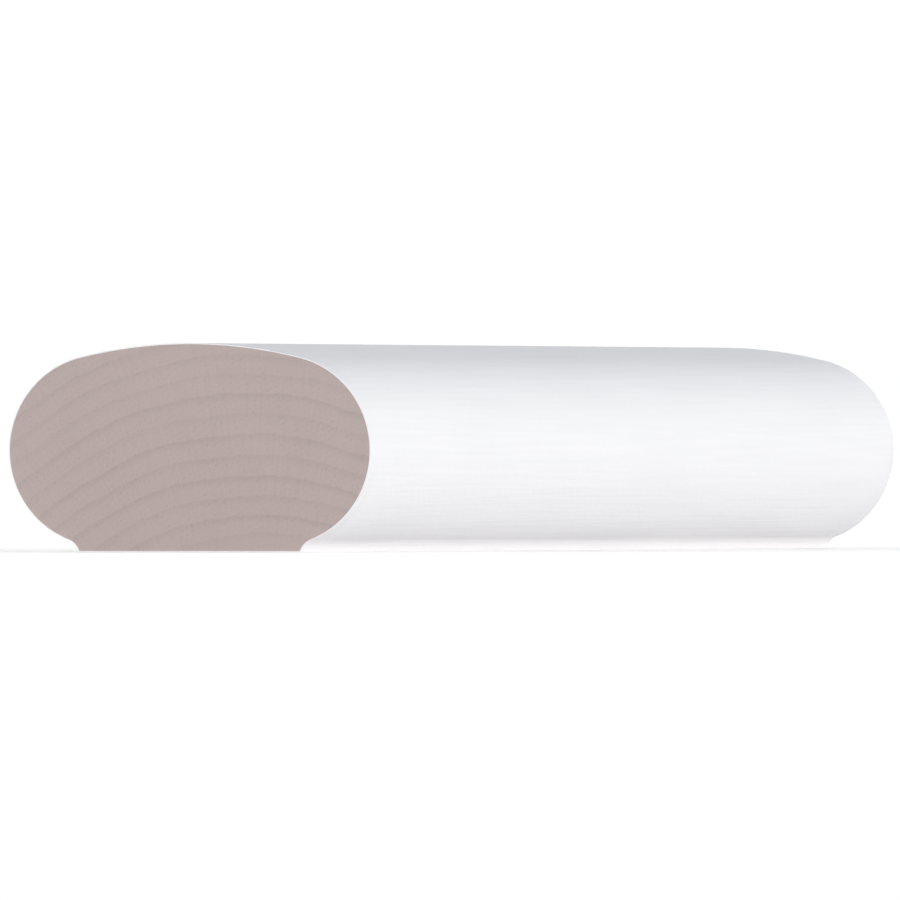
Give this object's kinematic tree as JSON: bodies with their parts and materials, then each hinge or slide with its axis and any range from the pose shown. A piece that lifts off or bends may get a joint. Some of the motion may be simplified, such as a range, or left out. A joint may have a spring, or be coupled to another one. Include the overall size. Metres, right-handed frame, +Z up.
{
  "type": "handrail",
  "caption": "Straight moulded handrail with a shallow crowned top, round sides and a narrow flat base set off by small coves, primed white with bare sawn ends.",
  "frame": {"origin": "on the flat base, under the middle of the rail's width and length", "axes": "+Y along the rail, +Z up from the flat base to the crown, +X across the rail"},
  "size_m": [0.0572, 0.3048, 0.0317],
  "materials": {
    "primed_wood": "white factory primer with a low sheen on the moulded faces; sawn ends are bare, greyish brown wood"
  },
  "bodies": {
    "root": {"handrail": "primed_wood"}
  },
  "joints": []
}
